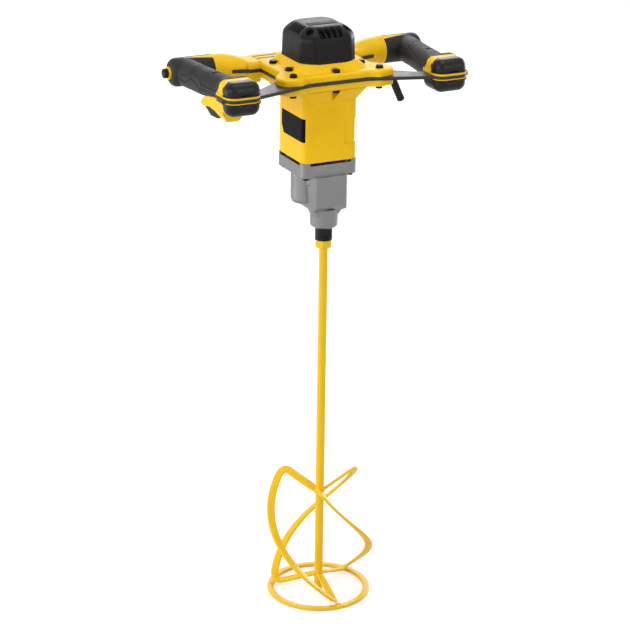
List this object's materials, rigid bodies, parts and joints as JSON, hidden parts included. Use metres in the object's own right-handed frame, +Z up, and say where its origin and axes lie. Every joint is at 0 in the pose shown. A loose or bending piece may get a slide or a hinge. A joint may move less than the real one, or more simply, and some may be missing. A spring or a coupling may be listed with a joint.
{
  "type": "mixing drill",
  "caption": "Handheld mixing drill: upright motor and gearbox hung from a bar with a grip at each end, a finger trigger in one grip, and a long shaft below with a caged helical paddle.",
  "frame": {"origin": "on the spindle axis, at the underside of the paddle foot ring", "axes": "+Z up the spindle axis to the motor cap, +X along the bar to the right hand grip, -Y to the front edge of the bar; the operator stands at +Y"},
  "size_m": [0.4193, 0.2015, 0.903],
  "materials": {
    "paddle_paint": "gloss enamel",
    "blackened_steel": "blackened and oiled",
    "gear_steel": "ground",
    "bearing_steel": "polished",
    "cast_aluminium": "satin casting",
    "yellow_shell": "fine grained moulding",
    "charcoal_cap": "satin moulding",
    "grip_rubber": "soft matt",
    "bumper_rubber": "smooth",
    "bar_paint": "satin powder coat",
    "lamination_steel": "stacked sheets",
    "copper": "lacquered",
    "inner_plastic": "plain"
  },
  "bodies": {
    "frame": {"gear_case_screws": "blackened_steel", "hub_bolts": "blackened_steel", "hub_nuts": "blackened_steel", "cap_screws": "blackened_steel", "trigger_pin": "gear_steel", "spindle_lower_bearing": "bearing_steel", "spindle_upper_bearing": "bearing_steel", "layshaft_lower_bearing": "bearing_steel", "layshaft_upper_bearing": "bearing_steel", "armature_lower_bearing": "bearing_steel", "armature_upper_bearing": "bearing_steel", "gear_case": "cast_aluminium", "gear_carrier_plate": "cast_aluminium", "armature_bracket": "cast_aluminium", "motor_housing": "yellow_shell", "hub_upper_shell": "yellow_shell", "hub_lower_shell": "yellow_shell", "right_handle_upper_shell": "yellow_shell", "right_handle_lower_shell": "yellow_shell", "left_handle_upper_shell": "yellow_shell", "left_handle_lower_shell": "yellow_shell", "motor_cap": "charcoal_cap", "right_elbow_cover": "grip_rubber", "left_elbow_cover": "grip_rubber", "right_grip_sleeve": "grip_rubber", "left_grip_sleeve": "grip_rubber", "cord_sleeve": "grip_rubber", "spindle_seal": "grip_rubber", "right_upper_bumper": "bumper_rubber", "right_lower_bumper": "bumper_rubber", "left_upper_bumper": "bumper_rubber", "left_lower_bumper": "bumper_rubber", "frame_bar": "bar_paint", "stator_core": "lamination_steel", "field_coils": "copper", "fan_baffle": "inner_plastic", "brush_holders": "inner_plastic", "carbon_brushes": "inner_plastic", "speed_control_module": "inner_plastic", "trigger_switch": "inner_plastic"},
    "spindle_group": {"spindle": "blackened_steel", "output_gear": "gear_steel", "spindle_clip": "blackened_steel", "paddle_collar": "paddle_paint", "paddle_shaft": "paddle_paint", "paddle_ring": "paddle_paint", "paddle_ribbon_1": "paddle_paint", "paddle_ribbon_2": "paddle_paint", "paddle_ribbon_3": "paddle_paint"},
    "layshaft_group": {"layshaft": "gear_steel", "layshaft_wheel": "gear_steel"},
    "armature_group": {"armature_shaft": "gear_steel", "armature_core": "lamination_steel", "armature_winding": "copper", "commutator": "copper", "cooling_fan": "inner_plastic"},
    "trigger_lever": {"trigger": "charcoal_cap"},
    "speed_knob": {"speed_dial": "charcoal_cap"}
  },
  "joints": [
    {"name": "spindle_spin", "type": "hinge", "parent": "frame", "child": "spindle_group", "pos_m": [0, 0, 0.58], "axis": [0, 0, 1], "continuous": true},
    {"name": "layshaft_spin", "type": "hinge", "parent": "frame", "child": "layshaft_group", "pos_m": [-0.02065, 0.0174, 0.66], "axis": [0, 0, 1], "continuous": true},
    {"name": "armature_spin", "type": "hinge", "parent": "frame", "child": "armature_group", "pos_m": [0, 0.025, 0.75], "axis": [0, 0, 1], "continuous": true},
    {"name": "trigger_squeeze", "type": "hinge", "parent": "frame", "child": "trigger_lever", "pos_m": [-0.16954, -0.04, 0.823], "axis": [1, 0, 0], "range_deg": [0, 7], "stiffness_Nm_per_rad": 1.5, "springref_deg": -2.86},
    {"name": "speed_turn", "type": "hinge", "parent": "frame", "child": "speed_knob", "pos_m": [-0.2075, 0.097, 0.831], "axis": [-1, 0, 0], "range_deg": [0, 270]}
  ],
  "couplings": [
    {"joint": "layshaft_spin", "follows": "spindle_spin", "ratio": -2.2727},
    {"joint": "armature_spin", "follows": "spindle_spin", "ratio": 7.7273}
  ]
}
